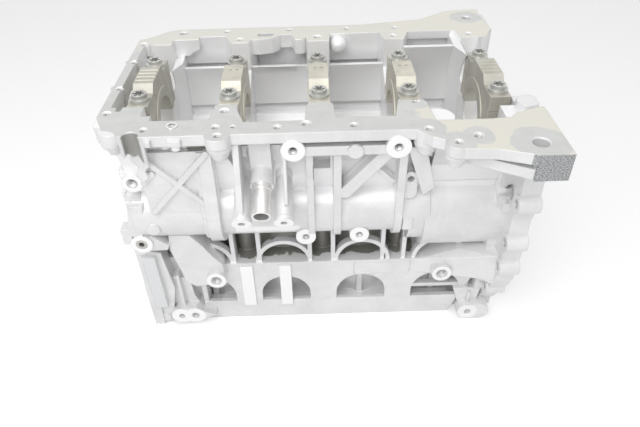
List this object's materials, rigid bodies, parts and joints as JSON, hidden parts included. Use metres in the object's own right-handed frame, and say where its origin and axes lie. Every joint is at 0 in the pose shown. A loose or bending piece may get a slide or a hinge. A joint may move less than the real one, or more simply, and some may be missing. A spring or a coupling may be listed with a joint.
{
  "type": "engine block",
  "caption": "Bare inline engine block on its head face: lined cylinder bores, bolted main bearing caps in the open crankcase, pan rail, gearbox flange and slanted drain tube.",
  "frame": {"origin": "centre of the head face, under the middle main bearing", "axes": "+X along the crank to the gearbox end, +Z from the head face up to the pan rail, the pictured side at -Y"},
  "size_m": [0.428, 0.342, 0.2928],
  "materials": {
    "casting": "as-cast satin",
    "cap_iron": "machined",
    "bolt_steel": "satin",
    "liner_iron": "honed",
    "bright_steel": "bright",
    "plug_steel": "dull zinc"
  },
  "bodies": {
    "root": {"block": "casting", "main_cap_bolts": "bolt_steel", "cap_sleeves": "bright_steel", "drain_tube": "bright_steel", "gallery_plug": "plug_steel", "coolant_plug": "plug_steel", "pan_sleeve": "bright_steel", "main_cap_1": "cap_iron", "main_cap_2": "cap_iron", "main_cap_3": "cap_iron", "main_cap_4": "cap_iron", "main_cap_5": "cap_iron", "liner_1": "liner_iron", "liner_2": "liner_iron", "liner_3": "liner_iron", "liner_4": "liner_iron", "core_plug_1": "plug_steel", "core_plug_2": "plug_steel", "core_plug_3": "plug_steel"}
  },
  "joints": []
}
